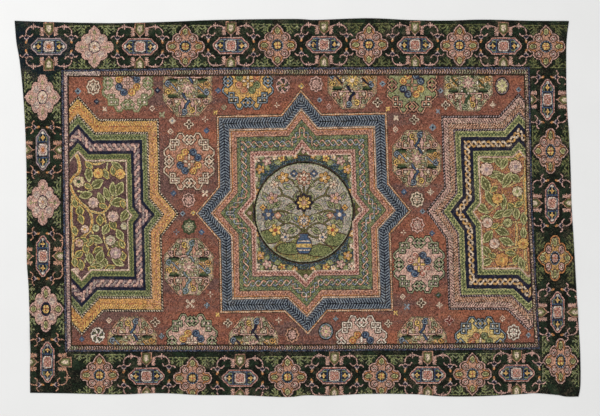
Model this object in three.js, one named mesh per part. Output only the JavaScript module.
// Needlework table rug: one cloth of wool stitches on canvas, lying flat on a surface.
// Millimetres. +X runs along the length, +Y across the width, +Z up off the surface.
// The origin is the middle of the underside.

import * as THREE from 'three';

// Driving dimensions
const CLOTH_THICKNESS = 2.5;
const CELLS_ALONG = 48;
const CELLS_ACROSS = 32;

// Cockles are the low soft buckles of a cloth that has stretched unevenly. They rise off the surface
// by a few millimetres and fade out towards the middle of the rug, which lies flat. A wave has its
// distance from crest to crest, along and across, and its turn at the middle of the rug in radians.
const LONG_WAVE = { along: 610, across: 1480, turn: 0.6 };
const CROSS_WAVE = { along: -2100, across: 530, turn: 1.9 };
const EDGE_WAVE = { along: 290, across: -290, turn: 2.2 };
const COCKLE_HEIGHT = 3.4;
const EDGE_COCKLE_HEIGHT = 2.2;
const EDGE_COCKLE_REACH = 190;
const SETTLED_SHARE = 0.45;
const FLAT_MIDDLE_RADIUS = 420;
const HALF_LENGTH = 1220;
const HALF_WIDTH = 840;

// The four edges as they lie, each a smooth line through a few places. Columns: x, y.
const TOP_EDGE = [
  [-1273, 841], [-1159, 837], [-934, 831], [-781, 831], [-565, 837], [-349, 845], [-25, 849],
  [83, 845], [245, 851], [353, 852], [515, 844], [677, 842], [839, 846], [1046, 841], [1221, 840],
];
const BOTTOM_EDGE = [
  [-1203, -833], [-1051, -835], [-799, -840], [-673, -835], [-565, -836], [-439, -843], [-259, -844],
  [-52, -852], [38, -844], [146, -846], [299, -838], [515, -839], [659, -849], [839, -848],
  [1001, -839], [1073, -835], [1163, -842], [1208, -850], [1264, -850],
];
const LEFT_EDGE = [
  [-1203, -833], [-1204, -731], [-1202, -641], [-1204, -573], [-1210, -362], [-1218, -245],
  [-1218, -123], [-1219, 79], [-1221, 241], [-1229, 421], [-1238, 547], [-1251, 664], [-1265, 745],
  [-1273, 841],
];
const RIGHT_EDGE = [
  [1264, -850], [1273, -794], [1272, -663], [1266, -551], [1257, -407], [1248, -245], [1241, -123],
  [1233, 12], [1230, 124], [1224, 282], [1212, 462], [1209, 583], [1210, 745], [1221, 840],
];

const wool = new THREE.MeshStandardMaterial({ color: 0x6b4a3a, roughness: 0.95, metalness: 0 });

function edgeCurve(places) {
  return new THREE.SplineCurve(places.map(([x, y]) => new THREE.Vector2(x, y)));
}

const top = edgeCurve(TOP_EDGE);
const bottom = edgeCurve(BOTTOM_EDGE);
const left = edgeCurve(LEFT_EDGE);
const right = edgeCurve(RIGHT_EDGE);

// A place inside the four edges: the blend of bottom and top edge, plus the blend of left and right
// edge, less the blend of the four corners. along and across run from 0 to 1.
function placeOnCloth(along, across) {
  const corners = bottom.getPointAt(0).multiplyScalar((1 - along) * (1 - across))
    .addScaledVector(bottom.getPointAt(1), along * (1 - across))
    .addScaledVector(top.getPointAt(0), (1 - along) * across)
    .addScaledVector(top.getPointAt(1), along * across);
  return bottom.getPointAt(along).multiplyScalar(1 - across)
    .addScaledVector(top.getPointAt(along), across)
    .addScaledVector(left.getPointAt(across), 1 - along)
    .addScaledVector(right.getPointAt(across), along)
    .sub(corners);
}

function waveAt(wave, x, y) {
  return Math.sin(2 * Math.PI * (x / wave.along + y / wave.across) + wave.turn);
}

// The height of the underside above the surface: the product of two long waves and, near the edges, a
// short wave, cut off where it is low so that most of the cloth touches the surface.
function liftAt(x, y) {
  const fromMiddle = Math.hypot(x, y) / FLAT_MIDDLE_RADIUS;
  const awayFromMiddle = 1 - Math.exp(-fromMiddle * fromMiddle);
  const toEdge = Math.min(HALF_LENGTH - Math.abs(x), HALF_WIDTH - Math.abs(y));
  const nearEdge = Math.exp(-Math.max(toEdge, 0) / EDGE_COCKLE_REACH);
  const broad = waveAt(LONG_WAVE, x, y) * waveAt(CROSS_WAVE, x, y);
  const height = COCKLE_HEIGHT * (broad - SETTLED_SHARE)
    + EDGE_COCKLE_HEIGHT * (waveAt(EDGE_WAVE, x, y) - SETTLED_SHARE) * nearEdge;
  return Math.max(0, height) * awayFromMiddle;
}

// A closed sheet: a grid of places seen from below and again from above, joined round the rim.
function clothGeometry() {
  const columns = CELLS_ALONG + 1;
  const rows = CELLS_ACROSS + 1;
  const layer = columns * rows;
  const points = new Float32Array(layer * 2 * 3);
  for (let row = 0; row < rows; row += 1) {
    for (let column = 0; column < columns; column += 1) {
      const place = placeOnCloth(column / CELLS_ALONG, row / CELLS_ACROSS);
      const lift = liftAt(place.x, place.y);
      const index = row * columns + column;
      points.set([place.x, place.y, lift], index * 3);
      points.set([place.x, place.y, lift + CLOTH_THICKNESS], (layer + index) * 3);
    }
  }

  const triangles = [];
  const addQuad = (a, b, c, d) => triangles.push(a, b, c, a, c, d);
  for (let row = 0; row < CELLS_ACROSS; row += 1) {
    for (let column = 0; column < CELLS_ALONG; column += 1) {
      const a = row * columns + column;
      const b = a + 1;
      const c = b + columns;
      const d = a + columns;
      addQuad(layer + a, layer + b, layer + c, layer + d);
      addQuad(a, d, c, b);
    }
  }

  // The rim runs once round the cloth, anticlockwise seen from above.
  const rim = [];
  for (let column = 0; column < CELLS_ALONG; column += 1) rim.push(column);
  for (let row = 0; row < CELLS_ACROSS; row += 1) rim.push(row * columns + CELLS_ALONG);
  for (let column = CELLS_ALONG; column > 0; column -= 1) rim.push(CELLS_ACROSS * columns + column);
  for (let row = CELLS_ACROSS; row > 0; row -= 1) rim.push(row * columns);
  rim.forEach((here, step) => {
    const next = rim[(step + 1) % rim.length];
    addQuad(here, next, layer + next, layer + here);
  });

  const geometry = new THREE.BufferGeometry();
  geometry.setAttribute('position', new THREE.BufferAttribute(points, 3));
  geometry.setIndex(triangles);
  geometry.computeBoundingBox();
  const middle = geometry.boundingBox.getCenter(new THREE.Vector3());
  geometry.translate(-middle.x, -middle.y, -geometry.boundingBox.min.z);
  geometry.computeVertexNormals();
  return geometry;
}

const rug = new THREE.Group();
const cloth = new THREE.Mesh(clothGeometry(), wool);
cloth.name = 'needlework_cloth';
rug.add(cloth);

export default rug;
